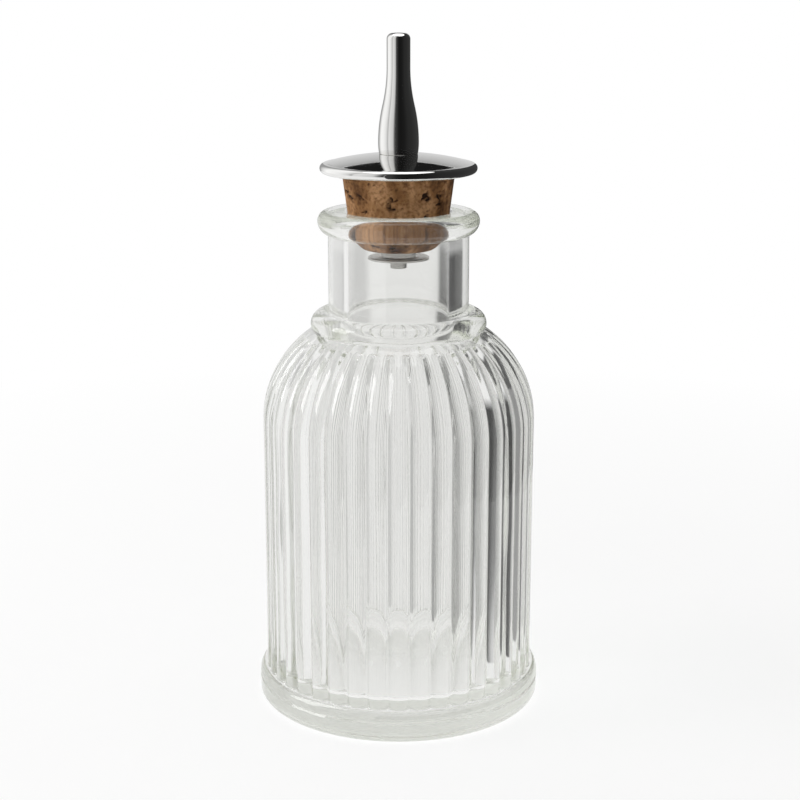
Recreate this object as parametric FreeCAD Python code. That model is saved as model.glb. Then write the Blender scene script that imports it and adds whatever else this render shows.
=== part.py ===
import FreeCAD, Part
import math
import os

# A ribbed glass bottle with a corked dasher top, standing on its base.
# Millimetres, +Z up, origin at the middle of the foot.

# Glass bottle, outside
BODY_RADIUS = 32.1
RIB_COUNT = 40
RIB_DEPTH = 1.0
# Across half the pitch and down the depth of a rib: groove, side, edge of the crest, crest, and the same mirrored
RIB_PROFILE_SHARES = ((-1, 1), (-0.8, 0.47), (-0.6, 0.2), (0, 0), (0.6, 0.2), (0.8, 0.47), (1, 1))
RIB_END_GAP = 1.4
SHOULDER_SECTIONS = 8
BASE_PROUD = 1.7
BASE_HEIGHT = 7.5
BASE_FOOT_ROUND = 1.6
BASE_TOP_ROUND = 1.5
BEARING_WIDTH = 8.0
PUNT_RISE = 2.0
STRAIGHT_TOP = 68.2
SHOULDER_ROUND = 25.5
COLLAR_PROUD = 4.2
COLLAR_ROUND = 3.0
LIP_PROUD = 2.4
LIP_ROUND = 3.4
LIP_TOP_ROUND = 2.2
BOTTLE_HEIGHT = 117.5

# Glass bottle, inside
WALL = 3.4
FLOOR = 8.0
FLOOR_ROUND = 2.2
NECK_BORE = 11.75
NECK_WALL = 4.6
NECK_BLEND = 4.0
MOUTH_ROUND = 1.2

# Cork, seated in a taper at the mouth
CORK_TAPER_ANGLE = 7.6
CORK_SEAT_DEPTH = 1.8
CORK_SHOWING = 8.7
CORK_LENGTH = 17.4
CORK_EDGE = 3.0
CORK_CLEARANCE = 0.15

# Domed disc that the cork hangs from
DISC_OVERHANG = 5.1
DISC_RIM_ROUND = 1.1
DOME_RISE = 2.1

# Pouring spout
SPOUT_FOOT_RADIUS = 4.5
SPOUT_BELLY_RADIUS = 4.72
SPOUT_BELLY_HEIGHT = 2.5
SPOUT_NECK_HEIGHT = 19.5
SPOUT_TIP_RADIUS = 2.7
SPOUT_LENGTH = 27.0
SPOUT_TIP_ROUND = 1.3
SPOUT_SOCKET_DEPTH = 8.0

# Stem tube through the cork, and the nut that clamps the cork on it
CHANNEL_RADIUS = 1.15
STEM_WALL = 0.75
STEM_STUB = 2.2
STEM_CLEARANCE = 0.05
NUT_HUB_RADIUS = 4.0
NUT_HUB_HEIGHT = 1.7
NUT_FLANGE_RADIUS = 7.1
NUT_FLANGE_THICKNESS = 0.5

# How far a cut runs past the face that it opens
CUT_OVERRUN = 1.0

# Sizes that follow from the ones above
base_radius = BODY_RADIUS + BASE_PROUD
neck_radius = NECK_BORE + NECK_WALL
glass_inset = RIB_DEPTH + WALL
inside_radius = BODY_RADIUS - glass_inset
shoulder_centre = (BODY_RADIUS - SHOULDER_ROUND, STRAIGHT_TOP)
lip_radius = neck_radius + LIP_PROUD
lip_centre = (lip_radius - LIP_ROUND, BOTTLE_HEIGHT - LIP_TOP_ROUND)
lip_top_centre = (lip_radius - LIP_TOP_ROUND, BOTTLE_HEIGHT - LIP_TOP_ROUND)
taper = math.tan(math.radians(CORK_TAPER_ANGLE))
seat_height = BOTTLE_HEIGHT - CORK_SEAT_DEPTH
cork_top = BOTTLE_HEIGHT + CORK_SHOWING
cork_bottom = cork_top - CORK_LENGTH
stem_radius = CHANNEL_RADIUS + STEM_WALL
stem_hole = stem_radius + STEM_CLEARANCE
disc_top = cork_top + DISC_RIM_ROUND + DISC_RIM_ROUND + DOME_RISE
stem_top = disc_top + SPOUT_SOCKET_DEPTH
nut_bottom = cork_bottom - NUT_HUB_HEIGHT - NUT_FLANGE_THICKNESS
stem_bottom = nut_bottom - STEM_STUB


class Outline:
    """Half of a turned section, drawn edge by edge as radius and height."""

    def __init__(self, radius, height):
        self.first = (radius, height)
        self.last = self.first
        self.edges = []

    def line_to(self, radius, height):
        """Draw a straight edge to a point."""
        self.edges.append(Part.LineSegment(at(self.last), at((radius, height))).toShape())
        self.last = (radius, height)

    def arc_to(self, centre, radius, height):
        """Draw an arc of under half a circle about a centre, to a point."""
        reach = math.dist(centre, self.last)
        towards = [a + b - c - c for a, b, c in zip(self.last, (radius, height), centre)]
        share = reach / math.hypot(*towards)
        middle = [c + t * share for c, t in zip(centre, towards)]
        self.edges.append(Part.Arc(at(self.last), at(middle), at((radius, height))).toShape())
        self.last = (radius, height)

    def turned(self):
        """Close the section and turn it about the upright axis."""
        self.line_to(*self.first)
        face = Part.Face(Part.Wire(self.edges))
        return face.revolve(FreeCAD.Vector(), FreeCAD.Vector(0, 0, 1), 360)


def at(point):
    """Place a point of a half section in space."""
    radius, height = point
    return FreeCAD.Vector(radius, 0, height)


def rise(reach, offset):
    """Give the other leg of a right triangle from its long side and one leg."""
    return math.sqrt(reach**2 - offset**2)


def shoulder_height(radius):
    """Give the height of the shoulder's crests at a radius."""
    return STRAIGHT_TOP + rise(SHOULDER_ROUND, radius - shoulder_centre[0])


def outer_crossing(centre_a, reach_a, centre_b, reach_b):
    """Find where two circles cross, on the side away from the axis."""
    gap = math.dist(centre_a, centre_b)
    along = (reach_a**2 - reach_b**2 + gap**2) / (gap + gap)
    aside = rise(reach_a, along)
    step_r = (centre_b[0] - centre_a[0]) / gap
    step_z = (centre_b[1] - centre_a[1]) / gap
    radius = centre_a[0] + along * step_r + aside * step_z
    height = centre_a[1] + along * step_z - aside * step_r
    return radius, height


def cork_radius(height):
    """Give the cork's radius at a height, from the taper that it shares with the mouth."""
    return NECK_BORE - CORK_CLEARANCE + taper * (height - seat_height)


# The collar's round sits on the shoulder's curve, and the ribs end just under it
collar_radius = neck_radius + COLLAR_PROUD - COLLAR_ROUND
collar_centre = (collar_radius, shoulder_height(collar_radius))
collar_foot = outer_crossing(shoulder_centre, SHOULDER_ROUND, collar_centre, COLLAR_ROUND)
rib_top = collar_foot[1] - RIB_END_GAP
rib_top_angle = math.asin((rib_top - STRAIGHT_TOP) / SHOULDER_ROUND)


def rib_section(crest_radius, depth, height):
    """Draw a ring of ribs, each a broad crest arc between two side arcs, with a crest on every main axis."""
    half_pitch = math.pi / RIB_COUNT
    edges = []
    for rib in range(RIB_COUNT):
        points = []
        for across_share, depth_share in RIB_PROFILE_SHARES:
            angle = half_pitch * (rib + rib + across_share)
            radius = crest_radius - depth * depth_share
            points.append(FreeCAD.Vector(radius * math.cos(angle), radius * math.sin(angle), height))
        for start in range(0, len(points) - 1, 2):
            edges.append(Part.Arc(*points[start : start + 3]).toShape())
    return Part.Wire(edges)


def ribbed_wall():
    """Extrude the ribs up the straight wall, from inside the base."""
    foot = BASE_HEIGHT - BASE_TOP_ROUND
    section = Part.Face(rib_section(BODY_RADIUS, RIB_DEPTH, foot))
    return section.extrude(FreeCAD.Vector(0, 0, STRAIGHT_TOP - foot))


def ribbed_shoulder():
    """Loft the ribs over the shoulder, narrowing with it, to a round ring where they end."""
    sections = []
    for step in range(SHOULDER_SECTIONS + 1):
        angle = rib_top_angle * step / SHOULDER_SECTIONS
        radius = shoulder_centre[0] + SHOULDER_ROUND * math.cos(angle)
        height = STRAIGHT_TOP + SHOULDER_ROUND * math.sin(angle)
        depth = RIB_DEPTH * radius / BODY_RADIUS if step < SHOULDER_SECTIONS else 0
        sections.append(rib_section(radius, depth, height))
    return Part.makeLoft(sections, True)


def bottle_base():
    """Turn the round-edged foot, hollowed underneath so that it stands on a ring."""
    punt_radius = base_radius - BASE_FOOT_ROUND - BEARING_WIDTH
    punt_reach = (punt_radius**2 + PUNT_RISE**2) / (PUNT_RISE + PUNT_RISE)
    side_top = BASE_HEIGHT - BASE_TOP_ROUND
    outline = Outline(0, PUNT_RISE)
    outline.arc_to((0, PUNT_RISE - punt_reach), punt_radius, 0)
    outline.line_to(base_radius - BASE_FOOT_ROUND, 0)
    outline.arc_to((base_radius - BASE_FOOT_ROUND, BASE_FOOT_ROUND), base_radius, BASE_FOOT_ROUND)
    outline.line_to(base_radius, side_top)
    outline.arc_to((base_radius - BASE_TOP_ROUND, side_top), base_radius - BASE_TOP_ROUND, BASE_HEIGHT)
    outline.line_to(0, BASE_HEIGHT)
    return outline.turned()


def bottle_neck():
    """Turn the plain top of the shoulder, the collar, the neck and the rounded lip."""
    collar_top = collar_centre[1] + rise(COLLAR_ROUND, neck_radius - collar_radius)
    lip_foot = lip_centre[1] - rise(LIP_ROUND, neck_radius - lip_centre[0])
    outline = Outline(0, rib_top)
    outline.line_to(shoulder_centre[0] + SHOULDER_ROUND * math.cos(rib_top_angle), rib_top)
    outline.arc_to(shoulder_centre, *collar_foot)
    outline.arc_to(collar_centre, neck_radius, collar_top)
    outline.line_to(neck_radius, lip_foot)
    outline.arc_to(lip_centre, lip_radius, lip_centre[1])
    outline.arc_to(lip_top_centre, lip_top_centre[0], BOTTLE_HEIGHT)
    outline.line_to(0, BOTTLE_HEIGHT)
    return outline.turned()


def bottle_inside():
    """Turn the hollow: a rounded floor, a smooth shoulder, the bore and the tapered mouth."""
    shoulder_reach = SHOULDER_ROUND - glass_inset
    blend_reach = shoulder_reach + NECK_BLEND
    blend_radius = NECK_BORE + NECK_BLEND
    blend_height = STRAIGHT_TOP + rise(blend_reach, blend_radius - shoulder_centre[0])
    blend_share = shoulder_reach / blend_reach
    blend_foot = (
        shoulder_centre[0] + blend_share * (blend_radius - shoulder_centre[0]),
        STRAIGHT_TOP + blend_share * (blend_height - STRAIGHT_TOP),
    )
    angle = math.radians(CORK_TAPER_ANGLE)
    mouth_height = BOTTLE_HEIGHT - MOUTH_ROUND
    mouth_radius = cork_radius(mouth_height) + CORK_CLEARANCE + MOUTH_ROUND / math.cos(angle)
    outline = Outline(0, FLOOR)
    outline.line_to(inside_radius - FLOOR_ROUND, FLOOR)
    outline.arc_to((inside_radius - FLOOR_ROUND, FLOOR + FLOOR_ROUND), inside_radius, FLOOR + FLOOR_ROUND)
    outline.line_to(inside_radius, STRAIGHT_TOP)
    outline.arc_to(shoulder_centre, *blend_foot)
    outline.arc_to((blend_radius, blend_height), NECK_BORE, blend_height)
    outline.line_to(NECK_BORE, seat_height)
    outline.line_to(mouth_radius - MOUTH_ROUND * math.cos(angle), mouth_height + MOUTH_ROUND * math.sin(angle))
    outline.arc_to((mouth_radius, mouth_height), mouth_radius, BOTTLE_HEIGHT)
    outline.line_to(mouth_radius, BOTTLE_HEIGHT + CUT_OVERRUN)
    outline.line_to(0, BOTTLE_HEIGHT + CUT_OVERRUN)
    return outline.turned()


def glass_bottle():
    """Join the base, the ribs and the neck, and hollow them out."""
    outside = bottle_base().fuse([ribbed_wall(), ribbed_shoulder(), bottle_neck()])
    return outside.cut(bottle_inside()).removeSplitter()


def cork_stopper():
    """Turn the tapered cork, bevelled below and bored for the stem."""
    edge_top = cork_bottom + CORK_EDGE
    outline = Outline(stem_hole, cork_bottom)
    outline.line_to(cork_radius(edge_top) - CORK_EDGE, cork_bottom)
    outline.line_to(cork_radius(edge_top), edge_top)
    outline.line_to(cork_radius(cork_top), cork_top)
    outline.line_to(stem_hole, cork_top)
    return outline.turned()


def drip_disc():
    """Turn the domed disc, with a round rim and a flat seat for the spout."""
    rim_radius = cork_radius(cork_top) + DISC_OVERHANG - DISC_RIM_ROUND
    rim_top = disc_top - DOME_RISE
    slope = (rim_radius**2 - SPOUT_FOOT_RADIUS**2) / (DOME_RISE + DOME_RISE)
    dome_centre = (0, (rim_top + disc_top) / 2 - slope)
    outline = Outline(stem_hole, cork_top)
    outline.line_to(rim_radius, cork_top)
    outline.arc_to((rim_radius, cork_top + DISC_RIM_ROUND), rim_radius + DISC_RIM_ROUND, cork_top + DISC_RIM_ROUND)
    outline.arc_to((rim_radius, cork_top + DISC_RIM_ROUND), rim_radius, rim_top)
    outline.arc_to(dome_centre, SPOUT_FOOT_RADIUS, disc_top)
    outline.line_to(stem_hole, disc_top)
    return outline.turned()


def pour_spout():
    """Turn the bellied spout, with a socket for the stem and a channel to its round tip."""
    tip = disc_top + SPOUT_LENGTH
    belly = disc_top + SPOUT_BELLY_HEIGHT
    neck = disc_top + SPOUT_NECK_HEIGHT
    half_length = (neck - belly) / 2
    half_drop = (SPOUT_BELLY_RADIUS - SPOUT_TIP_RADIUS) / 2
    sweep = (half_length**2 + half_drop**2) / (half_drop + half_drop)
    swell = SPOUT_BELLY_RADIUS - SPOUT_FOOT_RADIUS
    foot_sweep = (SPOUT_BELLY_HEIGHT**2 + swell**2) / (swell + swell)
    outline = Outline(stem_hole, disc_top)
    outline.line_to(SPOUT_FOOT_RADIUS, disc_top)
    outline.arc_to((SPOUT_BELLY_RADIUS - foot_sweep, belly), SPOUT_BELLY_RADIUS, belly)
    outline.arc_to((SPOUT_BELLY_RADIUS - sweep, belly), SPOUT_BELLY_RADIUS - half_drop, belly + half_length)
    outline.arc_to((SPOUT_TIP_RADIUS + sweep, neck), SPOUT_TIP_RADIUS, neck)
    outline.line_to(SPOUT_TIP_RADIUS, tip - SPOUT_TIP_ROUND)
    tip_ring = SPOUT_TIP_RADIUS - SPOUT_TIP_ROUND
    outline.arc_to((tip_ring, tip - SPOUT_TIP_ROUND), tip_ring, tip)
    outline.line_to(CHANNEL_RADIUS, tip)
    outline.line_to(CHANNEL_RADIUS, stem_top)
    outline.line_to(stem_hole, stem_top)
    return outline.turned()


def stem_tube():
    """Turn the tube that carries the flow from the bottle into the spout."""
    outline = Outline(CHANNEL_RADIUS, stem_bottom)
    outline.line_to(stem_radius, stem_bottom)
    outline.line_to(stem_radius, stem_top)
    outline.line_to(CHANNEL_RADIUS, stem_top)
    return outline.turned()


def clamp_nut():
    """Turn the nut: a hub against the cork and a thin flange to grip."""
    flange_top = nut_bottom + NUT_FLANGE_THICKNESS
    outline = Outline(stem_hole, nut_bottom)
    outline.line_to(NUT_FLANGE_RADIUS, nut_bottom)
    outline.line_to(NUT_FLANGE_RADIUS, flange_top)
    outline.line_to(NUT_HUB_RADIUS, flange_top)
    outline.line_to(NUT_HUB_RADIUS, cork_bottom)
    outline.line_to(stem_hole, cork_bottom)
    return outline.turned()


os.makedirs("parts", exist_ok=True)
for make in (glass_bottle, cork_stopper, drip_disc, pour_spout, stem_tube, clamp_nut):
    shape = make()
    box = shape.optimalBoundingBox(False)
    print(f"{make.__name__}: {len(shape.Solids)} solid, valid {shape.isValid()}, volume {shape.Volume:.1f} mm3,")
    print(f"    height {box.ZMin:.2f} to {box.ZMax:.2f}, width {box.XLength:.2f}")
    shape.exportStep(os.path.join("parts", make.__name__ + ".step"))
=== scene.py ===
import logging
import math
from collections.abc import Sequence
from dataclasses import dataclass, field
from enum import Enum

import bpy
import numpy as np
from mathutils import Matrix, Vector, noise


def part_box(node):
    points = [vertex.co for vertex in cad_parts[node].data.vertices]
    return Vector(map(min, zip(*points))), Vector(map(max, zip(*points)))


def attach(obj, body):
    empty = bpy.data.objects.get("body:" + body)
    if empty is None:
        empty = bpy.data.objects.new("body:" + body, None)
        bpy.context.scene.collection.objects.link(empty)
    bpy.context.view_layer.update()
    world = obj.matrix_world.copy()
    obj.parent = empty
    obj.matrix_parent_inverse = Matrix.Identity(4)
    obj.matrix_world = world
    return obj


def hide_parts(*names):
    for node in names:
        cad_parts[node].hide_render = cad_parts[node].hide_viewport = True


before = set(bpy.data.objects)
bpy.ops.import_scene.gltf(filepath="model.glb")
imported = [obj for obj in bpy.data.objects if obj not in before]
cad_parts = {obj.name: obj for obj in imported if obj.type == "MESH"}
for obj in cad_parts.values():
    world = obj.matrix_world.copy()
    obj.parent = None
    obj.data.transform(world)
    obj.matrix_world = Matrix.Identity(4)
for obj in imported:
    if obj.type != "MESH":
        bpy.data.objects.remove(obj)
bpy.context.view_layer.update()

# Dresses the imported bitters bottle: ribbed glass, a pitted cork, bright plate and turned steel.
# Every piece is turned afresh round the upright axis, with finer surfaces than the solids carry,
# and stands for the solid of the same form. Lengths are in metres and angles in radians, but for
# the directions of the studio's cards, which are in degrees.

Colour = tuple[float, float, float]
Place = tuple[float, float, float]
Point = tuple[float, float]
Pair = tuple[float, float]
Stops = tuple[float, ...]
Levels = tuple[Pair, ...]
Socket = bpy.types.NodeSocket
Piece = bpy.types.Object

WHITE: Colour = (1.0, 1.0, 1.0)
EVEN: Place = (1.0, 1.0, 1.0)
RUN_STEPS = 12
SHARP_ANGLE = math.radians(35.0)

log = logging.getLogger("bitters_bottle")


def grey(level: float) -> Colour:
    """Give the grey of a level."""
    return (level, level, level)


class Body(Enum):
    """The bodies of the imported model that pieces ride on."""

    BOTTLE = "bottle"
    TOP = "dasher_top"


class Slot(Enum):
    """The record's material slots."""

    GLASS = "glass"
    CORK = "cork"
    CHROME = "chrome"
    STEEL = "steel"


class Ends(Enum):
    """How a skin of rings is closed."""

    POLES = "a fan on the axis at each end"
    LOOP = "the last ring meets the first"


class SeenBy(Enum):
    """Which rays find a dark card of the studio."""

    METAL = "reflected rays alone"
    GLASS = "refracted rays alone"


class Graph:
    """A node tree that is cleared and then wired node by node."""

    def __init__(self, tree: bpy.types.NodeTree) -> None:
        """Take a tree over and empty it."""
        self.tree = tree
        tree.nodes.clear()

    def add(
        self, kind: str, inputs: dict[str | int, object] | None = None, **settings: object
    ) -> bpy.types.Node:
        """Add a node.

        Args:
            kind: The node's type name.
            inputs: Values for its sockets, or sockets of other nodes to link to them.
            settings: Properties of the node itself.

        Returns:
            The new node.
        """
        node = self.tree.nodes.new(kind)
        for name, value in settings.items():
            setattr(node, name, value)
        for socket, value in (inputs or {}).items():
            if isinstance(value, Socket):
                self.tree.links.new(value, node.inputs[socket])
            else:
                node.inputs[socket].default_value = value
        return node

    def ramp(self, factor: Socket, places: Sequence[float], colours: Sequence[Colour]) -> Socket:
        """Add a colour ramp.

        Args:
            factor: The value that runs along the ramp.
            places: The places of its stops, in order.
            colours: Their colours.

        Returns:
            The ramp's colour.
        """
        node = self.add("ShaderNodeValToRGB", {"Fac": factor})
        elements = node.color_ramp.elements
        for place in places[2:]:
            elements.new(place)
        for element, place, colour in zip(elements, places, colours):
            element.position = place
            element.color = (*colour, 1.0)
        return node.outputs["Color"]

    def greys(self, factor: Socket, places: Sequence[float], levels: Sequence[float]) -> Socket:
        """Add a ramp of greys, with a level for each of its stops."""
        return self.ramp(factor, places, [grey(level) for level in levels])

    def place(self) -> Socket:
        """Give the object coordinates."""
        return self.add("ShaderNodeTexCoord").outputs["Object"]

    def rise(self, low: float, high: float) -> Socket:
        """Give how far up between two heights a point lies.

        Args:
            low: The height that gives 0.
            high: The height that gives 1.

        Returns:
            The socket with that share.
        """
        height = self.add("ShaderNodeSeparateXYZ", {"Vector": self.place()}).outputs["Z"]
        inputs = {"Value": height, "From Min": low, "From Max": high}
        return self.add("ShaderNodeMapRange", inputs).outputs["Result"]

    def grain(self, scale: float, detail: float, stretch: Place = EVEN) -> Socket:
        """Add a noise texture.

        Args:
            scale: How fine it is.
            detail: How many finer layers it has.
            stretch: The scale of the coordinates along X, Y and Z.

        Returns:
            The texture's value.
        """
        place = self.add("ShaderNodeMapping", {"Vector": self.place(), "Scale": stretch}).outputs["Vector"]
        inputs = {"Vector": place, "Scale": scale, "Detail": detail}
        return self.add("ShaderNodeTexNoise", inputs).outputs["Fac"]

    def relief(self, height: Socket, depth: float, strength: float = 1.0) -> Socket:
        """Add a bump.

        Args:
            height: The value that makes it.
            depth: How deep it is.
            strength: How much of it shows.

        Returns:
            The bumped normal.
        """
        inputs = {"Height": height, "Distance": depth, "Strength": strength}
        return self.add("ShaderNodeBump", inputs).outputs["Normal"]

    def tinted(
        self, share: Socket | float, first: Socket, second: Socket | tuple[float, ...], how: str = "MIX"
    ) -> Socket:
        """Mix two colours.

        Args:
            share: The share of the second one.
            first: The first colour.
            second: The second colour.
            how: The name of the way that they mix.

        Returns:
            The mixed colour.
        """
        # The node's colour sockets share their names with its other sockets, so they go by number.
        inputs = {"Factor": share, 6: first, 7: second}
        return self.add("ShaderNodeMix", inputs, data_type="RGBA", blend_type=how).outputs[2]

    def blend(self, share: Socket, first: Socket, second: Socket) -> Socket:
        """Blend two shaders by the share of the second one."""
        return self.add("ShaderNodeMixShader", {"Fac": share, 1: first, 2: second}).outputs["Shader"]

    def surface(self, shader: Socket) -> None:
        """Make a shader the material's surface."""
        self.add("ShaderNodeOutputMaterial", {"Surface": shader})

    def seeing_rays(self) -> Socket:
        """Give 1 for rays from the camera, a mirror or glass, and 0 for rays that only bring light.

        Returns:
            The socket with that share.
        """
        rays = self.add("ShaderNodeLightPath").outputs
        share = rays["Is Camera Ray"]
        for kind in ("Is Glossy Ray", "Is Transmission Ray"):
            larger = self.add("ShaderNodeMath", {0: share, 1: rays[kind]}, operation="MAXIMUM")
            share = larger.outputs["Value"]
        return share


class Finish:
    """A surface finish that makes its own material."""

    def material(self) -> bpy.types.Material:
        """Make the material, named after the finish, and wire its nodes.

        Returns:
            The new material.
        """
        made = bpy.data.materials.new(type(self).__name__)
        made.use_nodes = True
        self.wire(Graph(made.node_tree))
        return made

    def wire(self, graph: Graph) -> None:
        """Wire the finish's nodes into an empty graph."""
        raise NotImplementedError


@dataclass(frozen=True)
class ClearGlass(Finish):
    """Clear pressed glass, faintly grey-green where it is thick."""

    tint: Colour = (0.90, 0.90, 0.893)
    refraction: float = 1.51
    depth_tint: Colour = (0.703, 0.725, 0.642)
    depth_density: float = 10.0
    roughness: float = 0.05
    ripple_scale: float = 170.0
    ripple_height: float = 0.000012
    ripple_stretch: Place = (1.0, 1.0, 0.5)
    shadow_tint: Colour = (0.94, 0.95, 0.945)

    def wire(self, graph: Graph) -> None:
        """Wire refraction, a faint surface ripple, a tint by depth and shadows that let lamps through.

        Args:
            graph: The empty graph that gets the nodes.
        """
        ripple = graph.grain(self.ripple_scale, detail=2.0, stretch=self.ripple_stretch)
        glass = graph.add(
            "ShaderNodeBsdfPrincipled",
            {
                "Base Color": (*self.tint, 1.0),
                "Roughness": self.roughness,
                "IOR": self.refraction,
                "Transmission Weight": 1.0,
                "Normal": graph.relief(ripple, self.ripple_height),
            },
        )
        clear = graph.add("ShaderNodeBsdfTransparent", {"Color": (*self.shadow_tint, 1.0)})
        shadow = graph.add("ShaderNodeLightPath").outputs["Is Shadow Ray"]
        surface = graph.blend(shadow, glass.outputs["BSDF"], clear.outputs["BSDF"])
        depth = graph.add(
            "ShaderNodeVolumeAbsorption", {"Color": (*self.depth_tint, 1.0), "Density": self.depth_density}
        )
        graph.add("ShaderNodeOutputMaterial", {"Surface": surface, "Volume": depth.outputs["Volume"]})


@dataclass(frozen=True)
class StippledGlass(ClearGlass):
    """The same glass where the mould is stippled, under the foot."""

    tint: Colour = (1.0, 1.0, 0.995)
    roughness: float = 0.3
    ripple_scale: float = 1400.0
    ripple_height: float = 0.00005


@dataclass(frozen=True)
class NaturalCork(Finish):
    """Natural cork: warm brown with a streaky grain, and dark crumbly pits."""

    pale: Colour = (0.58, 0.322, 0.155)
    warm: Colour = (0.32, 0.157, 0.06)
    deep: Colour = (0.11, 0.045, 0.014)
    pit: Colour = (0.028, 0.012, 0.006)
    streak_scale: float = 210.0
    streak_stretch: Place = (1.0, 1.0, 0.45)
    streak_stops: Stops = (0.34, 0.5, 0.64)
    cell_scale: float = 1300.0
    cell_shade: Colour = (0.55, 0.5, 0.45)
    cell_stops: Stops = (0.34, 0.55)
    cell_height: float = 0.00012
    cell_strength: float = 0.7
    roughness: Stops = (0.62, 0.85)
    rough_stops: Stops = (0.2, 0.8)
    gloss: float = 0.15
    pit_layer: str = "pit"

    def wire(self, graph: Graph) -> None:
        """Wire broad streaks, fine cells and the pits that the mesh carries.

        Args:
            graph: The empty graph that gets the nodes.
        """
        streaks = graph.grain(self.streak_scale, detail=6.0, stretch=self.streak_stretch)
        cells = graph.grain(self.cell_scale, detail=5.0)
        body = graph.ramp(streaks, self.streak_stops, (self.deep, self.warm, self.pale))
        fine = graph.ramp(cells, self.cell_stops, (self.cell_shade, WHITE))
        grained = graph.tinted(1.0, body, fine, how="MULTIPLY")
        pits = graph.add("ShaderNodeAttribute", attribute_name=self.pit_layer).outputs["Fac"]
        cork = graph.add(
            "ShaderNodeBsdfPrincipled",
            {
                "Base Color": graph.tinted(pits, grained, (*self.pit, 1.0)),
                "Roughness": graph.greys(cells, self.rough_stops, self.roughness),
                "Specular IOR Level": self.gloss,
                "Normal": graph.relief(cells, self.cell_height, self.cell_strength),
            },
        )
        graph.surface(cork.outputs["BSDF"])


@dataclass(frozen=True)
class BrightPlate(Finish):
    """Bright polished plate, with the faint unevenness of plated metal."""

    colour: Colour = (0.83, 0.83, 0.82)
    dull: Colour = (0.78, 0.775, 0.76)
    ripple_scale: float = 260.0
    ripple_height: float = 0.000003
    cloud_scale: float = 120.0
    cloud_stops: Stops = (0.35, 0.65)
    stretch: Place = (1.0, 1.0, 0.6)
    roughness: Stops = (0.035, 0.075)
    rough_stops: Stops = (0.3, 0.75)

    def wire(self, graph: Graph) -> None:
        """Wire the mirror, its slight clouding and its ripple.

        Args:
            graph: The empty graph that gets the nodes.
        """
        clouds = graph.grain(self.cloud_scale, detail=5.0, stretch=self.stretch)
        ripple = graph.grain(self.ripple_scale, detail=1.0, stretch=self.stretch)
        plate = graph.add(
            "ShaderNodeBsdfPrincipled",
            {
                "Base Color": graph.ramp(clouds, self.cloud_stops, (self.dull, self.colour)),
                "Metallic": 1.0,
                "Roughness": graph.greys(clouds, self.rough_stops, self.roughness),
                "Normal": graph.relief(ripple, self.ripple_height),
            },
        )
        graph.surface(plate.outputs["BSDF"])


@dataclass(frozen=True)
class TurnedSteel(Finish):
    """Plain steel with the fine rings that a lathe leaves."""

    bright: Colour = (0.55, 0.54, 0.52)
    dark: Colour = (0.38, 0.37, 0.35)
    ring_scale: float = 900.0
    ring_stretch: Place = (0.05, 0.05, 1.0)
    ring_stops: Stops = (0.35, 0.65)
    ring_height: float = 0.00002
    ring_strength: float = 0.5
    roughness: Stops = (0.22, 0.36)
    rough_stops: Stops = (0.3, 0.7)

    def wire(self, graph: Graph) -> None:
        """Wire the tool rings into the colour, the gloss and the relief.

        Args:
            graph: The empty graph that gets the nodes.
        """
        rings = graph.grain(self.ring_scale, detail=3.0, stretch=self.ring_stretch)
        steel = graph.add(
            "ShaderNodeBsdfPrincipled",
            {
                "Base Color": graph.ramp(rings, self.ring_stops, (self.dark, self.bright)),
                "Metallic": 1.0,
                "Roughness": graph.greys(rings, self.rough_stops, self.roughness),
                "Normal": graph.relief(rings, self.ring_height, self.ring_strength),
            },
        )
        graph.surface(steel.outputs["BSDF"])


@dataclass(frozen=True)
class PaleFloor(Finish):
    """A white table top that keeps shadows round the object, and is plain white away from it; right under
    it, in place of its shadow, it glows plain white as painted light.
    """

    colour: Colour = (0.93, 0.93, 0.925)
    speckle_scale: float = 30.0
    speckle_step: float = 0.01
    speckle_stops: Stops = (0.4, 0.6)
    # Painted light: the reach out to which the floor glows plain white under the bottle, hiding its shadow
    # there.
    under: float = 0.033
    under_edge: float = 0.002
    near: float = 0.10
    far: float = 0.35
    near_share: float = 0.72

    def wire(self, graph: Graph) -> None:
        """Wire the lit table top, the plain white that seeing rays find further out, and the painted white
        glow that they find right under the bottle.

        Args:
            graph: The empty graph that gets the nodes.
        """
        speckle = graph.grain(self.speckle_scale, detail=2.0)
        pale = tuple(part + self.speckle_step for part in self.colour)
        colour = graph.ramp(speckle, self.speckle_stops, (self.colour, pale))
        table = graph.add("ShaderNodeBsdfDiffuse", {"Color": colour})
        white = graph.add("ShaderNodeEmission", {"Color": (*WHITE, 1.0), "Strength": 1.0})
        reach = graph.add("ShaderNodeVectorMath", {0: graph.place()}, operation="LENGTH").outputs["Value"]
        out = graph.add("ShaderNodeMapRange", {"Value": reach, "From Max": self.far}).outputs["Result"]
        # Right under the bottle, seen through the glass, the floor is a full glow of white in place of its
        # shadow: painted light.
        edges = (self.under, self.under + self.under_edge, self.near, self.far)
        levels = (1.0, self.near_share, self.near_share, 1.0)
        fade = graph.greys(out, [edge / self.far for edge in edges], levels)
        share = graph.add("ShaderNodeMath", {0: fade, 1: graph.seeing_rays()}, operation="MULTIPLY")
        graph.surface(graph.blend(share.outputs["Value"], table.outputs["BSDF"], white.outputs["Emission"]))


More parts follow.
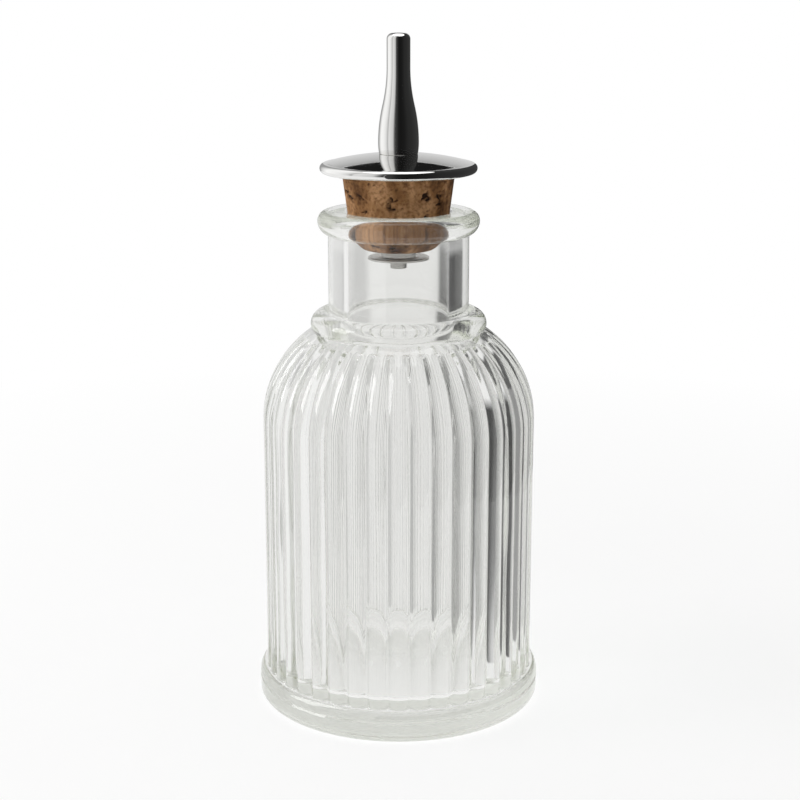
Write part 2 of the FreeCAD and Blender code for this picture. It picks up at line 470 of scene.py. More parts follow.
@dataclass(frozen=True)
class CardGlow(Finish):
    """A studio card's glow, from near black to white, which no lamp lights: it paints reflections into the
    plate and dark bands into the glass.
    """

    seen: SeenBy
    level: float = 0.012

    def shade(self, graph: Graph) -> Socket | tuple[float, ...]:
        """Give the glow's colour, or the socket that works it out."""
        return (*grey(self.level), 1.0)

    def wire(self, graph: Graph) -> None:
        """Wire a glow, which rays that have been inside glass pass by on a card for metal.

        Args:
            graph: The empty graph that gets the nodes.
        """
        glow = graph.add("ShaderNodeEmission", {"Color": self.shade(graph), "Strength": 1.0})
        shader = glow.outputs["Emission"]
        if self.seen is SeenBy.METAL:
            clear = graph.add("ShaderNodeBsdfTransparent")
            inside = graph.add("ShaderNodeLightPath").outputs["Transmission Depth"]
            shader = graph.blend(inside, shader, clear.outputs["BSDF"])
        graph.surface(shader)


@dataclass(frozen=True)
class RoundGlow(CardGlow):
    """A glowing card whose level changes round the bottle, and may fade to white between two heights:
    painted reflections and painted dark bands, set direction by direction.
    """

    turns: Levels = ()
    fade: Pair | None = None

    def shade(self, graph: Graph) -> Socket:
        """Work out the level by direction, in degrees from straight behind towards the right, and by height.

        Args:
            graph: The graph that gets the nodes.

        Returns:
            The socket with the level as a grey.
        """
        mirrored = graph.add(
            "ShaderNodeMapping",
            {"Vector": graph.place(), "Scale": (-1.0, 1.0, 1.0), "Rotation": (0.0, 0.0, math.pi / 2.0)},
        )
        turn = graph.add(
            "ShaderNodeTexGradient", {"Vector": mirrored.outputs["Vector"]}, gradient_type="RADIAL"
        )
        degrees, levels = zip(*self.turns)
        shade = graph.greys(turn.outputs["Fac"], [degree / 360.0 for degree in degrees], levels)
        if self.fade is None:
            return shade
        return graph.tinted(graph.rise(*self.fade), shade, (*WHITE, 1.0))


@dataclass(frozen=True)
class RisingGlow(CardGlow):
    """A glowing card whose level changes evenly from the floor up to a height: a painted gradient in the
    plate's reflection.
    """

    height: float = 1.0
    high_level: float = 1.0

    def shade(self, graph: Graph) -> Socket:
        """Work out the level by height."""
        return graph.greys(graph.rise(0.0, self.height), (0.0, 1.0), (self.level, self.high_level))


def shares(steps: int) -> np.ndarray:
    """Give the share of a stretch that is done after each of its even steps."""
    return np.linspace(0.0, 1.0, steps + 1)[1:]


class Outline:
    """Half of a turned section: points of radius and height along lines and arcs."""

    def __init__(self, radius: float, height: float) -> None:
        """Start at a point."""
        self.points: list[Point] = [(radius, height)]

    def line_to(self, radius: float, height: float, steps: int = 1) -> None:
        """Draw a straight stretch to a point.

        Args:
            radius: The radius of the point where it ends.
            height: The height of that point.
            steps: How many chords stand for it.
        """
        start = self.points[-1]
        for share in shares(steps):
            self.points.append(
                (start[0] + share * (radius - start[0]), start[1] + share * (height - start[1]))
            )

    def arc_to(self, centre: Point, radius: float, height: float, steps: int) -> None:
        """Draw an arc of under half a circle to a point.

        Args:
            centre: The arc's centre.
            radius: The radius of the point where it ends.
            height: The height of that point.
            steps: How many chords stand for it.
        """
        start = self.points[-1]
        first = math.atan2(start[1] - centre[1], start[0] - centre[0])
        last = math.atan2(height - centre[1], radius - centre[0])
        sweep = math.remainder(last - first, math.tau)
        reach = math.dist(centre, start)
        for share in shares(steps):
            angle = first + sweep * share
            self.points.append((centre[0] + reach * math.cos(angle), centre[1] + reach * math.sin(angle)))

    def round_to(self, corner: Point, end: Point, cut: float, steps: int) -> None:
        """Draw past a corner to a point, with the corner rounded off.

        Args:
            corner: The corner.
            end: The point that the outline heads for after it, where it doesn't yet arrive.
            cut: How far before and after the corner the round starts and ends.
            steps: How many chords stand for the round.
        """
        start = np.array(self.points[-1])
        middle = np.array(corner)
        ahead = np.array(end) - middle
        first = middle + (start - middle) * cut / math.dist(start, middle)
        last = middle + ahead * cut / np.hypot(*ahead)
        self.line_to(*first, RUN_STEPS)
        for share in shares(steps):
            point = (1.0 - share) ** 2 * first + 2.0 * share * (1.0 - share) * middle + share**2 * last
            self.points.append((float(point[0]), float(point[1])))

    def swell_to(self, radius: float, height: float, steps: int) -> None:
        """Draw an upright S of two equal arcs to a point.

        Args:
            radius: The radius of the point where it ends.
            height: The height of that point.
            steps: How many chords stand for each arc.
        """
        start = self.points[-1]
        half_drop = (start[0] - radius) / 2.0
        half_rise = (height - start[1]) / 2.0
        reach = (half_drop**2 + half_rise**2) / (2.0 * half_drop)
        self.arc_to((start[0] - reach, start[1]), start[0] - half_drop, start[1] + half_rise, steps)
        self.arc_to((radius + reach, height), radius, height, steps)

    def rings(self, segments: int) -> tuple[np.ndarray, np.ndarray]:
        """Repeat the points about the upright axis.

        Args:
            segments: How many steps go round it.

        Returns:
            The radii and the heights, a row for each ring.
        """
        points = np.array(self.points)
        return np.repeat(points[:, :1], segments, axis=1), np.repeat(points[:, 1:], segments, axis=1)

    def turned(self, name: str, segments: int) -> Piece:
        """Turn the section, as a closed loop, about the upright axis.

        Args:
            name: The new piece's name.
            segments: How many steps go round it.

        Returns:
            The turned piece.
        """
        angles = np.linspace(0.0, math.tau, segments, endpoint=False)
        return skin(name, *self.rings(segments), angles, Ends.LOOP)


def mesh_object(name: str, points: Sequence[Place], faces: Sequence[Sequence[int]]) -> Piece:
    """Make a mesh object and link it into the scene.

    Args:
        name: The object's name.
        points: The places of its points.
        faces: The points of each face, by number.

    Returns:
        The new object.
    """
    mesh = bpy.data.meshes.new(name)
    mesh.from_pydata(points, [], faces)
    made = bpy.data.objects.new(name, mesh)
    bpy.context.scene.collection.objects.link(made)
    return made


def skin(name: str, radii: np.ndarray, heights: np.ndarray, angles: np.ndarray, ends: Ends) -> Piece:
    """Skin rings of points into one closed, smooth piece.

    Args:
        name: The new piece's name.
        radii: The radius of each point, a row for each ring.
        heights: The height of each point, likewise.
        angles: The angle of each column about the upright axis.
        ends: How the skin is closed.

    Returns:
        The piece, linked into the scene.
    """
    rings, segments = radii.shape
    places = np.stack((radii * np.cos(angles), radii * np.sin(angles), heights), axis=-1).reshape(-1, 3)
    index = np.arange(rings * segments).reshape(rings, segments)
    lower = index if ends is Ends.LOOP else index[:-1]
    upper = np.roll(index, -1, axis=0) if ends is Ends.LOOP else index[1:]
    quads = np.stack((lower, np.roll(lower, -1, axis=1), np.roll(upper, -1, axis=1), upper), axis=-1)
    faces = quads.reshape(-1, 4).tolist()
    points = places.tolist()
    if ends is Ends.POLES:
        for ring, turn in ((0, 1), (rings - 1, -1)):
            row = index[ring]
            points.append([0.0, 0.0, float(heights[ring].mean())])
            fan = np.stack((np.roll(row, -turn), row, np.full(segments, len(points) - 1)), axis=-1)
            faces.extend(fan.tolist())
    piece = mesh_object(name, points, faces)
    piece.data.shade_smooth()
    piece.data.set_sharp_from_angle(angle=SHARP_ANGLE)
    return piece


def settle(piece: Piece, finish: bpy.types.Material, body: Body, node: str) -> Piece:
    """Give a piece its finish and its place in the model.

    Args:
        piece: The piece.
        finish: The material that it wears.
        body: The body that it rides on.
        node: The solid that it stands for.

    Returns:
        The same piece.
    """
    piece.data.materials.append(finish)
    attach(piece, body.value)
    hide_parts(node)
    return piece


@dataclass
class GlassBottle:
    """The ribbed bottle: one skin from under the foot, over the lip and down to the floor inside."""

    body_radius: float = 0.0321
    rib_count: int = 40
    rib_depth: float = 0.0010
    rib_steps: int = 14
    valley_round_share: float = 0.11
    groove_power: float = 3.2
    groove_end: float = 0.0016
    run_out_share: float = 1.5
    base_proud: float = 0.0017
    base_height: float = 0.0075
    foot_round: float = 0.0016
    base_top_width: float = 0.0015
    base_top_drop: float = 0.0022
    base_top_steps: int = 7
    seam_height: float = 0.0048
    seam_width: float = 0.0004
    seam_depth: float = 0.0003
    bearing_width: float = 0.0080
    punt_rise: float = 0.0020
    stipple_radius: float = 0.0275
    underside_slope: float = -0.9
    crease_round: float = 0.0006
    crease_share: float = 0.8
    crease_steps: int = 5
    straight_top: float = 0.0682
    shoulder_round: float = 0.0255
    rib_top: float = 0.08838
    collar_centre: Point = (0.01755, 0.09123)
    collar_round: float = 0.0030
    collar_foot: Point = (0.02018, 0.08978)
    neck_radius: float = 0.01635
    lip_round: float = 0.0034
    lip_top_round: float = 0.0022
    lip_proud: float = 0.0024
    height: float = 0.1175
    wall: float = 0.0034
    floor: float = 0.0080
    floor_round: float = 0.0022
    bore: float = 0.01175
    neck_blend: float = 0.0040
    seat_depth: float = 0.0018
    mouth_round: float = 0.0012
    taper_angle: float = math.radians(7.6)
    middle_share: float = 0.08
    inside_wave: float = 0.00022
    outside_wave: float = 0.00003
    wave_scale: float = 130.0
    wave_stretch: float = 0.35
    fine_wave_scale: float = 290.0
    fine_wave_share: float = 0.5
    bore_ring_share: float = 1.0001
    wave_from_share: float = 1.02
    rib_variation_share: float = 0.08
    rib_seed: Place = (0.35, 4.1, 2.3)
    rib_seed_step: float = 1.7
    angles: np.ndarray = field(init=False)
    grooves: np.ndarray = field(init=False)

    def __post_init__(self) -> None:
        """Work out the columns of the skin and how deep in a groove each one lies."""
        pitch = math.tau / self.rib_count
        across = np.sin(np.linspace(-1.0, 1.0, self.rib_steps, endpoint=False) * math.pi / 2.0)
        ribs = np.arange(self.rib_count)
        self.angles = ((ribs[:, None] + across[None, :] / 2.0) * pitch).ravel()
        from_valley = 1.0 - np.abs(across)
        rounded = np.hypot(from_valley, self.valley_round_share) - self.valley_round_share
        depth = (1.0 - rounded) ** self.groove_power
        first, *rest = self.rib_seed
        seeds = [Vector((self.rib_seed_step * rib + first, *rest)) for rib in ribs]
        shares = 1.0 + self.rib_variation_share * np.array([noise.noise(seed) for seed in seeds])
        self.grooves = (shares[:, None] * depth[None, :]).ravel()

    @property
    def base_radius(self) -> float:
        """Give the foot's radius, held just inside the solid's box."""
        low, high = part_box("glass_bottle")
        return min(self.body_radius + self.base_proud, -low.x, high.x, -low.y, high.y)

    @property
    def punt_radius(self) -> float:
        """Give the radius of the hollow under the foot."""
        return self.base_radius - self.foot_round - self.bearing_width

    @property
    def shoulder_centre(self) -> Point:
        """Give the centre of the shoulder's curve."""
        return self.body_radius - self.shoulder_round, self.straight_top

    def foot_outline(self) -> Outline:
        """Draw the foot from under its middle to the ledge that the ribs stand on.

        Returns:
            The foot's outline.
        """
        side = self.base_radius
        flat = side - self.foot_round
        punt = self.punt_radius
        reach = (punt**2 + self.punt_rise**2) / (2.0 * self.punt_rise)
        outline = Outline(punt * self.middle_share, self.punt_rise)
        outline.arc_to((0.0, self.punt_rise - reach), punt, 0.0, steps=6)
        outline.line_to(flat, 0.0, steps=5)
        outline.arc_to((flat, self.foot_round), side, self.foot_round, steps=6)
        outline.line_to(side, self.seam_height - self.seam_width)
        outline.line_to(side - self.seam_depth, self.seam_height)
        outline.line_to(side, self.seam_height + self.seam_width)
        for share in shares(self.base_top_steps):
            turn = share * math.pi / 2.0
            radius = side - self.base_top_width * (1.0 - math.cos(turn))
            height = self.base_height - self.base_top_drop * (1.0 - math.sin(turn))
            outline.points.append((radius, height))
        return outline

    def ribbed_outline(self) -> Outline:
        """Draw the crests of the ribs, up the wall and over the shoulder.

        Returns:
            The crests' outline.
        """
        outline = Outline(self.body_radius, self.base_height)
        outline.line_to(self.body_radius, self.straight_top, steps=16)
        centre = self.shoulder_centre
        turn = math.asin((self.rib_top - self.straight_top) / self.shoulder_round)
        end_turn = turn - self.run_out_share * self.groove_end / self.shoulder_round
        for angle, steps in ((end_turn, 16), (turn, 7)):
            outline.arc_to(
                centre,
                centre[0] + self.shoulder_round * math.cos(angle),
                centre[1] + self.shoulder_round * math.sin(angle),
                steps,
            )
        return outline

    def top_outline(self) -> Outline:
        """Draw the plain shoulder, the collar, the neck and the lip, then the inside down to its floor.

        Returns:
            The outline from the ribs' ends to the middle of the floor inside.
        """
        lip_radius = self.neck_radius + self.lip_proud
        lip = (lip_radius - self.lip_round, self.height - self.lip_top_round)
        lip_edge = lip_radius - self.lip_top_round
        collar_top = self.collar_centre[1] + math.sqrt(
            self.collar_round**2 - (self.neck_radius - self.collar_centre[0]) ** 2
        )
        lip_foot = lip[1] - math.sqrt(self.lip_round**2 - (self.neck_radius - lip[0]) ** 2)
        mouth_height = self.height - self.mouth_round
        slope = math.tan(self.taper_angle)
        seat = self.height - self.seat_depth
        mouth = self.bore + slope * (mouth_height - seat) + self.mouth_round / math.cos(self.taper_angle)
        centre = self.shoulder_centre
        start = self.rib_top - self.straight_top
        outline = Outline(centre[0] + math.sqrt(self.shoulder_round**2 - start**2), self.rib_top)
        outline.arc_to(centre, *self.collar_foot, steps=3)
        outline.arc_to(self.collar_centre, self.neck_radius, collar_top, steps=12)
        outline.line_to(self.neck_radius, lip_foot, steps=4)
        outline.arc_to(lip, lip_radius, lip[1], steps=9)
        outline.arc_to((lip_edge, lip[1]), lip_edge, self.height, steps=7)
        outline.line_to(mouth, self.height, steps=2)
        outline.arc_to(
            (mouth, mouth_height),
            mouth - self.mouth_round * math.cos(self.taper_angle),
            mouth_height + self.mouth_round * math.sin(self.taper_angle),
            steps=5,
        )
        outline.line_to(self.bore, seat, steps=2)
        self.draw_inside(outline)
        return outline

    def draw_inside(self, outline: Outline) -> None:
        """Draw the bore, the smooth shoulder, the wall and the rounded floor.

        Args:
            outline: The outline that they are added to.
        """
        centre = self.shoulder_centre
        reach = self.shoulder_round - self.rib_depth - self.wall
        inside = centre[0] + reach
        across = self.bore + self.neck_blend - centre[0]
        rise = math.sqrt((reach + self.neck_blend) ** 2 - across**2)
        blend = (centre[0] + across, self.straight_top + rise)
        share = reach / (reach + self.neck_blend)
        meet = (centre[0] + share * across, self.straight_top + share * rise)
        outline.line_to(self.bore, blend[1], steps=4)
        outline.arc_to(blend, *meet, steps=6)
        outline.arc_to(centre, inside, self.straight_top, steps=12)
        corner = (inside - self.floor_round, self.floor + self.floor_round)
        outline.line_to(inside, corner[1], steps=14)
        outline.arc_to(corner, corner[0], self.floor, steps=12)
        outline.line_to(inside * self.middle_share, self.floor, steps=4)

    def ribbed_rings(self) -> tuple[np.ndarray, np.ndarray]:
        """Press the grooves into the ribbed outline.

        Returns:
            The radii and the heights of the rings, with a small round where the ribs meet the foot.
        """
        radii, heights = self.ribbed_outline().rings(len(self.angles))
        end_turn = math.asin((self.rib_top - self.straight_top) / self.shoulder_round)
        turn = np.arcsin(np.clip((heights - self.straight_top) / self.shoulder_round, 0.0, 1.0))
        to_end = np.clip((end_turn - turn) * self.shoulder_round / self.groove_end, 0.0, 1.0)
        fade = np.sqrt(1.0 - (1.0 - to_end) ** 2)
        depth = self.rib_depth * radii / self.body_radius * fade
        radii -= depth * self.grooves
        foot = radii[0]
        ledge = self.base_radius - self.base_top_width
        room = np.minimum(self.crease_round, self.crease_share * (ledge - foot))
        turns = np.linspace(0.0, math.pi / 2.0, self.crease_steps + 1)[:-1, None]
        round_radii = foot + room * (1.0 - np.sin(turns))
        round_heights = self.base_height + room * (1.0 - np.cos(turns))
        heights[0] = self.base_height + room
        return np.concatenate((round_radii, radii)), np.concatenate((round_heights, heights))

    def ripple(self, radii: np.ndarray, heights: np.ndarray) -> np.ndarray:
        """Work out the slow waves of pressed glass.

        Args:
            radii: The radius of each point, a row for each ring.
            heights: The height of each point, likewise.

        Returns:
            A value round 0.5 for each point.
        """
        waves = np.zeros_like(radii)
        for row, (ring, levels) in enumerate(zip(radii, heights)):
            for column, angle in enumerate(self.angles):
                across = (ring[column] * math.cos(angle), ring[column] * math.sin(angle))
                place = Vector((*across, levels[column] * self.wave_stretch))
                fine = self.fine_wave_share * noise.noise(place * self.fine_wave_scale)
                waves[row, column] = noise.noise(place * self.wave_scale) + fine
        return 0.5 + waves / 2.0

    def build(self) -> Piece:
        """Build the skin of the bottle.

        Returns:
            The new piece.
        """
        columns = len(self.angles)
        foot = self.foot_outline().rings(columns)
        ribbed = self.ribbed_rings()
        top = self.top_outline().rings(columns)
        ribbed[0][:] -= self.outside_wave * self.ripple(*ribbed)
        inside = np.argmax(top[0][:, 0] < self.bore * self.bore_ring_share)
        wall = top[0][inside:]
        waved = wall > self.bore * self.wave_from_share
        wall += self.inside_wave * (self.ripple(wall, top[1][inside:]) - 0.5) * waved
        radii = np.concatenate((foot[0], ribbed[0], top[0][1:]))
        heights = np.concatenate((foot[1], ribbed[1], top[1][1:]))
        piece = skin("ribbed_bottle", radii, heights, self.angles, Ends.POLES)
        for face in piece.data.polygons:
            under = face.center.z < self.punt_rise and face.normal.z < self.underside_slope
            face.material_index = int(under and face.center.xy.length < self.stipple_radius)
        return piece

    def dress(self) -> list[Piece]:
        """Build the bottle and give it its glass.

        Returns:
            The dressed piece, in a list.
        """
        bottle = settle(self.build(), ClearGlass().material(), Body.BOTTLE, "glass_bottle")
        bottle.data.materials.append(StippledGlass().material())
        return [bottle]


@dataclass(frozen=True)
class CorkPits:
    """The crumbled pits of cork: ragged blotches, with small specks between them.

    The seed fixes the ragged edges, which would follow the clock without it.
    """

    seed: int = 1795887536
    depth: float = 0.00055
    scale: Pair = (330.0, 430.0)
    shift: float = 7.0
    ragged_scale: float = 2.7
    ragged_share: float = 0.35
    fine_scale: float = 3.1
    fine_share: float = 0.25
    blotch_edge: Pair = (0.40, 0.16)
    speck_scale: float = 2.6
    speck_shift: Place = (3.0, 8.0, 1.0)
    speck_edge: Pair = (0.52, 0.15)
    speck_share: float = 0.6

    def share(self, place: Vector) -> float:
        """Work out how deep in a pit a point lies.

        Args:
            place: The point.

        Returns:
            Its depth as a share, from 0 to 1.
        """
        across, up = self.scale
        broad = Vector((place.x * across, place.y * across, place.z * up + self.shift))
        ragged = broad + self.ragged_share * noise.noise_vector(broad * self.ragged_scale)
        blotch = noise.noise(ragged) + self.fine_share * noise.noise(ragged * self.fine_scale)
        speck = noise.noise(broad * self.speck_scale + Vector(self.speck_shift))
        large = self.over(blotch, self.blotch_edge)
        return max(large, self.speck_share * self.over(speck, self.speck_edge))

    def over(self, value: float, edge: Pair) -> float:
        """Give how far past an edge, of a start and a width, a value is, from 0 to 1."""
        return min(1.0, max(0.0, (value - edge[0]) / edge[1]))


@dataclass
class DasherTop:
    """The cork with its disc, spout, stem tube and clamp nut."""

    cork_bottom: float = 0.1088
    cork_top: float = 0.1262
    cork_mouth_height: float = 0.1157
    cork_mouth_radius: float = 0.0116
    taper_angle: float = math.radians(7.6)
    cork_edge: float = 0.0030
    cork_corner: float = 0.0013
    stem_hole: float = 0.00195
    disc_rim_radius: float = 0.0170
    disc_rim_round: float = 0.0011
    disc_top: float = 0.1305
    dome_rise: float = 0.0021
    spout_foot_radius: float = 0.0045
    spout_belly_radius: float = 0.00472
    spout_belly_height: float = 0.0025
    spout_neck_height: float = 0.0195
    spout_tip_radius: float = 0.0027
    spout_tip_round: float = 0.0013
    spout_length: float = 0.0270
    socket_depth: float = 0.0080
    channel_radius: float = 0.00115
    stem_radius: float = 0.0019
    stem_bottom: float = 0.1044
    nut_hub_radius: float = 0.0040
    nut_flange_radius: float = 0.0071
    nut_flange_thickness: float = 0.0005
    nut_bottom: float = 0.1066
    edge_round: float = 0.00015
    pits: CorkPits = CorkPits()
    hole_margin_share: float = 1.2
    end_margin: float = 0.00001
    cork_segments: int = 360
    metal_segments: int = 192
    stem_segments: int = 96

    def cork_radius(self, height: float) -> float:
        """Give the cork's radius at a height."""
        return self.cork_mouth_radius + math.tan(self.taper_angle) * (height - self.cork_mouth_height)

    def cork(self) -> Piece:
        """Build the cork, with crumbled pits pressed into its side and its lower end.

        Returns:
            The new piece, which carries how deep each point lies in a pit.
        """
        edge_top = self.cork_bottom + self.cork_edge
        side = self.cork_radius(edge_top)
        outline = Outline(self.stem_hole, self.cork_bottom)
        bevel_foot = (side - self.cork_edge, self.cork_bottom)
        bevel_top = (side, edge_top)
        rim = (self.cork_radius(self.cork_top), self.cork_top)
        outline.round_to(bevel_foot, bevel_top, self.cork_corner, steps=10)
        outline.round_to(bevel_top, rim, self.cork_corner, steps=12)
        outline.line_to(*rim, steps=80)
        outline.line_to(self.stem_hole, self.cork_top, steps=6)
        piece = outline.turned("cork_plug", self.cork_segments)
        noise.seed_set(self.pits.seed)
        pits = []
        for vertex in piece.data.vertices:
            share = self.pits.share(vertex.co)
            reach = vertex.co.xy.length
            at_hole = reach < self.stem_hole * self.hole_margin_share
            if at_hole or vertex.co.z > self.cork_top - self.end_margin:
                share = 0.0
            pits.append(share)
            if vertex.co.z > self.cork_bottom + self.end_margin:
                vertex.co.xy *= 1.0 - self.pits.depth * share / reach
            else:
                vertex.co.z += self.pits.depth * share
        layer = piece.data.attributes.new(NaturalCork.pit_layer, "FLOAT", "POINT")
        layer.data.foreach_set("value", pits)
        return piece

    def disc(self) -> Piece:
        """Build the domed disc with its round rim.

        Returns:
            The new piece.
        """
        rim_top = self.disc_top - self.dome_rise
        slope = (self.disc_rim_radius**2 - self.spout_foot_radius**2) / (2.0 * self.dome_rise)
        dome_centre = (0.0, (rim_top + self.disc_top) / 2.0 - slope)
        rim = (self.disc_rim_radius, self.cork_top + self.disc_rim_round)
        outline = Outline(self.stem_hole, self.cork_top)
        outline.line_to(self.disc_rim_radius, self.cork_top, steps=6)
        outline.arc_to(rim, rim[0] + self.disc_rim_round, rim[1], steps=10)
        outline.arc_to(rim, rim[0], rim_top, steps=10)
        outline.arc_to(dome_centre, self.spout_foot_radius, self.disc_top, steps=24)
        outline.line_to(self.stem_hole, self.disc_top, steps=2)
        return outline.turned("domed_disc", self.metal_segments)

    def spout(self) -> Piece:
        """Build the bellied spout with its rounded tip and channel.

        Returns:
            The new piece.
        """
        edge = self.edge_round
        tip = self.disc_top + self.spout_length
        belly = self.disc_top + self.spout_belly_height
        neck = self.disc_top + self.spout_neck_height
        socket = self.disc_top + self.socket_depth
        swell = self.spout_belly_radius - self.spout_foot_radius
        reach = (self.spout_belly_height**2 + swell**2) / (2.0 * swell)
        ring = self.spout_tip_radius - self.spout_tip_round
        foot = (self.spout_foot_radius - edge, self.disc_top + edge)
        outline = Outline(self.stem_hole, self.disc_top)
        outline.line_to(foot[0], self.disc_top)
        outline.arc_to(foot, self.spout_foot_radius, foot[1], steps=4)
        outline.arc_to((self.spout_belly_radius - reach, belly), self.spout_belly_radius, belly, steps=8)
        outline.swell_to(self.spout_tip_radius, neck, steps=16)
        outline.line_to(self.spout_tip_radius, tip - self.spout_tip_round, steps=4)
        outline.arc_to((ring, tip - self.spout_tip_round), ring, tip, steps=10)
        outline.line_to(self.channel_radius, tip)
        outline.line_to(self.channel_radius, socket, steps=10)
        outline.line_to(self.stem_hole, socket)
        return outline.turned("dash_spout", self.metal_segments)

    def stem(self) -> Piece:
        """Build the tube that carries the flow from the bottle into the spout.

        Returns:
            The new piece.
        """
        edge = self.edge_round
        top = self.disc_top + self.socket_depth
        foot = (self.stem_radius - edge, self.stem_bottom + edge)
        outline = Outline(self.channel_radius, self.stem_bottom)
        outline.line_to(foot[0], self.stem_bottom)
        outline.arc_to(foot, self.stem_radius, foot[1], steps=4)
        outline.line_to(self.stem_radius, top, steps=24)
        outline.line_to(self.channel_radius, top)
        outline.line_to(self.channel_radius, self.stem_bottom + edge, steps=24)
        return outline.turned("stem_pipe", self.stem_segments)

    def nut(self) -> Piece:
        """Build the clamp nut: a thin flange with rolled edges under a hub.

        Returns:
            The new piece.
        """
        edge = self.edge_round
        rim = self.nut_flange_radius - edge
        roll_top = self.nut_bottom + edge
        flange_top = self.nut_bottom + self.nut_flange_thickness
        hub = (self.nut_hub_radius + edge, flange_top + edge)
        outline = Outline(self.stem_hole, self.nut_bottom)
        outline.line_to(rim, self.nut_bottom, steps=4)
        outline.arc_to((rim, roll_top), self.nut_flange_radius, roll_top, steps=4)
        outline.line_to(self.nut_flange_radius, flange_top - edge)
        outline.arc_to((rim, flange_top - edge), rim, flange_top, steps=4)
        outline.line_to(hub[0], flange_top, steps=3)
        outline.arc_to(hub, self.nut_hub_radius, hub[1], steps=3)
        outline.line_to(self.nut_hub_radius, self.cork_bottom, steps=3)
        outline.line_to(self.stem_hole, self.cork_bottom)
        return outline.turned("flange_nut", self.metal_segments)

    def dress(self) -> list[Piece]:
        """Build the pieces of the top and give each its finish.

        Returns:
            The dressed pieces.
        """
        plate = BrightPlate().material()
        steel = TurnedSteel().material()
        return [
            settle(self.cork(), NaturalCork().material(), Body.TOP, "cork_stopper"),
            settle(self.disc(), plate, Body.TOP, "drip_disc"),
            settle(self.spout(), plate, Body.TOP, "pour_spout"),
            settle(self.stem(), steel, Body.TOP, "stem_tube"),
            settle(self.nut(), steel, Body.TOP, "clamp_nut"),
        ]


@dataclass(frozen=True)
class Card:
    """A curved, glowing card that stands round the bottle, for the plate alone or for the glass alone to
    find: painted light, hidden from the camera, from diffuse light and from shadows.

    Its span is its first and last direction in degrees, from straight behind the bottle towards its right.
    Its foot and its head are the reach from the bottle's axis and the height of its lower and upper edge.
    """

    name: str
    span: Pair
    foot: Point
    head: Point
    painted_glow: CardGlow
    steps: int = 33

    def stand(self) -> None:
        """Build the card where it stands, and show it to the rays that are meant to find it."""
        turns = np.radians(np.linspace(*self.span, self.steps))
        edges = [(reach, height, turn) for reach, height in (self.foot, self.head) for turn in turns]
        points = [(reach * math.sin(turn), reach * math.cos(turn), height) for reach, height, turn in edges]
        over = self.steps
        faces = [(i, i + 1, over + i + 1, over + i) for i in range(self.steps - 1)]
        card = mesh_object(self.name, points, faces)
        card.data.materials.append(self.painted_glow.material())
        card.visible_camera = False
        card.visible_diffuse = False
        card.visible_shadow = False
        card.visible_glossy = self.painted_glow.seen is SeenBy.METAL
        card.visible_transmission = self.painted_glow.seen is SeenBy.GLASS


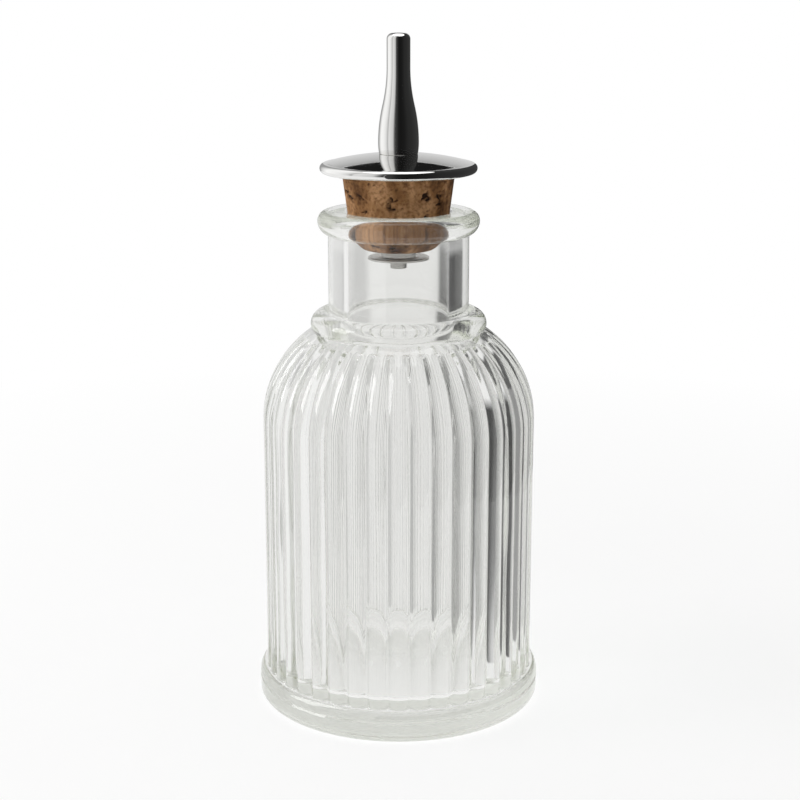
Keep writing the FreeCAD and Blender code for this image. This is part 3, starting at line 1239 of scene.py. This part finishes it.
@dataclass
class Studio:
    """The pale floor, the soft light, the glowing cards that paint reflections and dark edges into the plate
    and the glass, and the camera.

    The tables of levels pair a direction, as a card's span has it, with a grey between black and white.
    """

    floor_radius: float = 3.0
    floor_sides: int = 96
    floor_drop: float = 0.00008
    ambient: float = 0.30
    key_place: Place = (-0.75, -0.08, 0.62)
    key_size: Pair = (0.45, 0.90)
    key_power: float = 6.4
    top_place: Place = (0.10, 0.12, 0.95)
    top_size: Pair = (1.2, 1.0)
    top_power: float = 3.0
    aim: Place = (0.0, 0.0, 0.075)
    camera_place: Place = (0.00033, -0.3938, 0.17295)
    camera_pitch: float = math.radians(14.32)
    lens: float = 77.25
    bounces: int = 32
    # Painted reflection for the plate: dark to the right, and a painted highlight, brighter than white, to
    # the left.
    mirrored: Levels = (
        (25.0, 0.055), (60.0, 0.045), (100.0, 0.030), (125.0, 0.026), (147.0, 0.014), (170.0, 0.010),
        (182.0, 0.016), (190.0, 0.045), (199.0, 0.060), (204.0, 0.24), (211.0, 0.70), (232.0, 0.88),
        (237.0, 0.84), (240.0, 0.46), (244.0, 0.70), (255.0, 0.95), (270.0, 1.10), (290.0, 1.15),
        (305.0, 0.80), (320.0, 0.35),
    )
    # These three tables paint the dark bands that the glass bends into its ribs and its neck.
    bent: Levels = (
        (14.0, 1.0), (28.0, 0.80), (40.0, 0.66), (47.0, 0.40), (52.0, 0.34), (58.0, 0.32), (64.0, 0.36),
        (74.0, 0.34), (80.0, 0.20), (85.0, 0.07), (95.0, 0.06), (100.0, 0.30), (104.0, 1.0),
    )
    bent_neck: Levels = (
        (24.0, 1.0), (30.0, 0.20), (42.0, 0.15), (60.0, 0.11), (74.0, 0.13), (80.0, 1.0),
        (296.0, 1.0), (299.0, 0.50), (302.0, 0.72), (340.0, 0.76), (345.0, 1.0),
    )
    bent_left: Levels = ((302.5, 1.0), (303.8, 0.40), (304.8, 0.40), (306.0, 1.0))

    def floor(self) -> None:
        """Lay a round floor under the bottle."""
        turns = np.linspace(0.0, math.tau, self.floor_sides, endpoint=False)
        edge = self.floor_radius * np.stack((np.cos(turns), np.sin(turns)), axis=-1)
        points = [(across, along, -self.floor_drop) for across, along in edge.tolist()]
        floor = mesh_object("floor", points, [list(range(self.floor_sides))])
        floor.data.materials.append(PaleFloor().material())

    def mirror_cards(self) -> list[Card]:
        """List the glowing cards that paint the bright plate's reflections.

        Returns:
            The cards.
        """
        dark = CardGlow(SeenBy.METAL)
        ringed = RoundGlow(SeenBy.METAL, turns=self.mirrored)
        rising = RisingGlow(SeenBy.METAL, level=0.80, height=0.66, high_level=0.38)
        return [
            Card("card_front_right", (25.0, 197.0), foot=(0.20, 0.001), head=(1.00, 0.62), painted_glow=dark),
            Card("card_spout_right", (25.0, 197.0), foot=(0.05, 0.07), head=(0.07, 0.26), painted_glow=ringed),
            Card("card_spout_left", (197.0, 335.0), foot=(0.05, 0.118), head=(0.07, 0.26), painted_glow=ringed),
            Card("card_back_high", (-60.0, 60.0), foot=(1.20, 0.67), head=(1.20, 1.70), painted_glow=dark),
            Card("card_back_low", (-25.0, 25.0), foot=(0.22, 0.001), head=(1.20, 0.66), painted_glow=rising),
        ]

    def glass_cards(self) -> list[Card]:
        """List the glowing cards that paint dark bands into the glass's edges.

        Returns:
            The cards.
        """
        right = RoundGlow(SeenBy.GLASS, turns=self.bent, fade=(0.082, 0.096))
        neck = RoundGlow(SeenBy.GLASS, turns=self.bent_neck, fade=(0.099, 0.104))
        left = RoundGlow(SeenBy.GLASS, turns=self.bent_left, fade=(0.04, 0.06))
        foot = (0.060, 0.0765)
        head = (0.060, 0.105)
        return [
            Card("card_glass_right", (14.0, 104.0), foot=(0.055, 0.0005), head=(0.085, 0.097), painted_glow=right),
            Card("card_glass_neck_right", (24.0, 80.0), foot=foot, head=head, painted_glow=neck),
            Card("card_glass_neck_left", (296.0, 345.0), foot=foot, head=head, painted_glow=neck),
            Card("card_glass_left", (302.5, 306.0), foot=(0.055, 0.0005), head=(0.075, 0.065), painted_glow=left),
        ]

    def lamp(self, name: str, place: Place, size: Pair, power: float) -> None:
        """Hang a soft box that faces the bottle.

        Args:
            name: The lamp's name.
            place: Where it hangs.
            size: Its width and height.
            power: Its power in watts.
        """
        data = bpy.data.lights.new(name, "AREA")
        data.shape = "RECTANGLE"
        data.size, data.size_y = size
        data.energy = power
        lamp = bpy.data.objects.new(name, data)
        lamp.location = place
        lamp.rotation_euler = (Vector(self.aim) - Vector(place)).to_track_quat("-Z", "Y").to_euler()
        lamp.visible_camera = False
        lamp.visible_transmission = False
        bpy.context.scene.collection.objects.link(lamp)

    def surround(self) -> None:
        """Wire the world: white to rays that see it, and a soft level of light otherwise."""
        world = bpy.data.worlds.new("soft_room")
        bpy.context.scene.world = world
        world.use_nodes = True
        graph = Graph(world.node_tree)
        lit = graph.add("ShaderNodeBackground", {"Color": (*WHITE, 1.0), "Strength": self.ambient})
        white = graph.add("ShaderNodeBackground", {"Color": (*WHITE, 1.0), "Strength": 1.0})
        light = graph.blend(graph.seeing_rays(), lit.outputs["Background"], white.outputs["Background"])
        graph.add("ShaderNodeOutputWorld", {"Surface": light})

    def camera(self) -> None:
        """Stand the camera in front of the bottle, looking slightly down."""
        data = bpy.data.cameras.new("camera")
        data.lens = self.lens
        camera = bpy.data.objects.new("camera", data)
        camera.location = self.camera_place
        camera.rotation_euler = (math.pi / 2.0 - self.camera_pitch, 0.0, 0.0)
        bpy.context.scene.collection.objects.link(camera)
        bpy.context.scene.camera = camera

    def set_up(self) -> None:
        """Set up the whole studio."""
        self.floor()
        for card in self.mirror_cards() + self.glass_cards():
            card.stand()
        self.lamp("key_box", self.key_place, self.key_size, self.key_power)
        self.lamp("top_box", self.top_place, self.top_size, self.top_power)
        self.surround()
        self.camera()
        bpy.context.scene.view_settings.view_transform = "Standard"
        light = bpy.context.scene.cycles
        light.max_bounces = light.glossy_bounces = light.transmission_bounces = self.bounces


def main() -> None:
    """Build and dress each sub-assembly, report its pieces and set up the studio."""
    logging.basicConfig(level=logging.INFO, format="%(name)s: %(message)s")
    for assembly in (GlassBottle(), DasherTop()):
        for piece in assembly.dress():
            finish = piece.data.materials[0].name
            log.info("%s: %d faces, in %s", piece.name, len(piece.data.polygons), finish)
    Studio().set_up()


if __name__ == "__main__":
    main()
